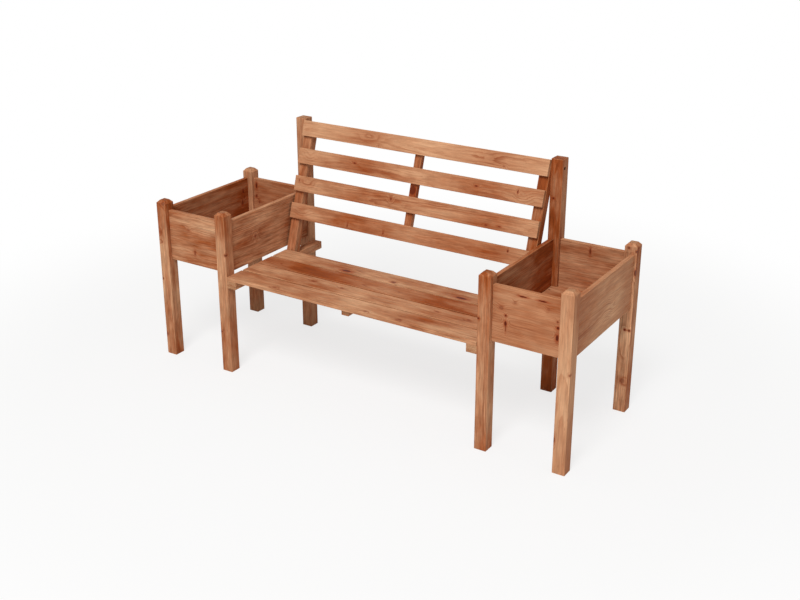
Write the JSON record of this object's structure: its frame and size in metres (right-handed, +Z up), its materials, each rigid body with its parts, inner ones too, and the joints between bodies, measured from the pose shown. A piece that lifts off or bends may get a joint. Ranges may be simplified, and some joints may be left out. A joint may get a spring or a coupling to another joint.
{
  "type": "bench with planter",
  "caption": "Slatted garden bench with a leaning slatted backrest and a raised square-posted planter box at each end, all in brown-stained wood.",
  "frame": {"origin": "on the floor, at the middle of the footprint", "axes": "+X along the bench to the sitter's left, +Y from the front to the back, +Z up"},
  "size_m": [1.84, 0.59, 0.95],
  "materials": {
    "timber": "orange-brown stain, satin, with visible grain and knots",
    "dowel_wood": "bare beech",
    "steel": "zinc-plated steel"
  },
  "bodies": {
    "root": {"left_front_outer_post": "timber", "left_front_inner_post": "timber", "left_rear_outer_post": "timber", "left_tall_post": "timber", "left_front_panel": "timber", "left_rear_panel": "timber", "left_inner_panel": "timber", "left_outer_panel": "timber", "left_inner_floor_cleat": "timber", "left_outer_floor_cleat": "timber", "left_floor_board_1": "timber", "left_floor_board_2": "timber", "left_floor_board_3": "timber", "left_floor_board_4": "timber", "left_floor_board_5": "timber", "left_seat_bearer": "timber", "left_back_strut": "timber", "right_front_outer_post": "timber", "right_front_inner_post": "timber", "right_rear_outer_post": "timber", "right_tall_post": "timber", "right_front_panel": "timber", "right_rear_panel": "timber", "right_inner_panel": "timber", "right_outer_panel": "timber", "right_inner_floor_cleat": "timber", "right_outer_floor_cleat": "timber", "right_floor_board_1": "timber", "right_floor_board_2": "timber", "right_floor_board_3": "timber", "right_floor_board_4": "timber", "right_floor_board_5": "timber", "right_seat_bearer": "timber", "right_back_strut": "timber", "middle_seat_bearer": "timber", "middle_back_batten": "timber", "seat_board_1": "timber", "seat_board_2": "timber", "seat_board_3": "timber", "seat_board_4": "timber", "back_board_1": "timber", "back_board_2": "timber", "back_board_3": "timber", "back_board_4": "timber", "bearer_plugs": "timber", "panel_dowels": "dowel_wood", "floor_cleat_screws": "steel", "floor_board_screws": "steel", "seat_board_screws": "steel", "middle_bearer_screws": "steel", "bearer_screws": "steel", "strut_foot_screws": "steel", "strut_bolts": "steel", "back_board_screws": "steel", "middle_batten_screws": "steel"}
  },
  "joints": []
}
